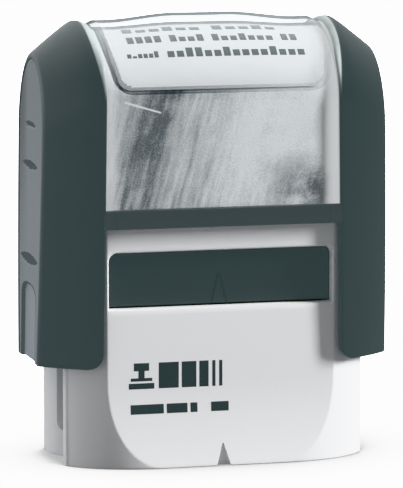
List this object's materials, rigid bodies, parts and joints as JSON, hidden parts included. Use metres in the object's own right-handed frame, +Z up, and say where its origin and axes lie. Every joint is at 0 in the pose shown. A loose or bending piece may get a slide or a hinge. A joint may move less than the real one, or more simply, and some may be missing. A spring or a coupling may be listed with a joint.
{
  "type": "self inking stamp",
  "caption": "Small desk stamp whose inked die turns half a turn onto the paper as the dark arched handle is pressed down over a white base.",
  "frame": {"origin": "middle of the base's foot, on the surface being stamped", "axes": "+X to the stamp's right, -Y its front, +Z up"},
  "size_m": [0.046, 0.0227, 0.0567],
  "materials": {
    "base_white": "satin white ABS",
    "handle_dark": "fine-textured dark green-grey ABS",
    "grip_grey": "soft-touch grey",
    "window_clear": "clear polished polystyrene",
    "label_paper": "printed white paper",
    "card_paper": "printed grey card",
    "mechanism_grey": "grey acetal",
    "spring_steel": "drawn spring wire",
    "die_foam": "cream foam backing",
    "die_rubber": "laser-cut red-brown rubber",
    "ink_felt": "felt soaked with dark ink"
  },
  "bodies": {
    "base": {"base_housing": "base_white", "return_spring": "spring_steel"},
    "handle": {"handle_cap": "handle_dark", "grip_panel_left": "grip_grey", "grip_panel_right": "grip_grey", "index_label": "label_paper", "index_card": "card_paper", "bow": "mechanism_grey"},
    "die": {"die_holder": "mechanism_grey", "die_foam": "die_foam", "text_plate": "die_rubber"},
    "cassette": {"ink_cassette": "handle_dark", "ink_pad": "ink_felt"},
    "window": {"index_window": "window_clear"},
    "lock": {"lock_button": "handle_dark"}
  },
  "joints": [
    {"name": "press", "type": "slide", "parent": "base", "child": "handle", "axis": [0, 0, -1], "range_m": [0, 0.0125], "deforming": ["return_spring"]},
    {"name": "die_turn", "type": "hinge", "parent": "handle", "child": "die", "pos_m": [0, 0, 0.017], "axis": [1, 0, 0], "range_deg": [0, 180]},
    {"name": "cassette_slide", "type": "slide", "parent": "base", "child": "cassette", "axis": [0, 1, 0], "range_m": [-0.0008, 0.0008]},
    {"name": "window_lift", "type": "slide", "parent": "handle", "child": "window", "axis": [0, 0, 1], "range_m": [0, 0.008]},
    {"name": "lock_push", "type": "slide", "parent": "handle", "child": "lock", "axis": [0, -1, 0], "range_m": [0, 0.001]}
  ],
  "couplings": [
    {"joint": "die_turn", "follows": "press", "rad_per_m": 251.33}
  ]
}
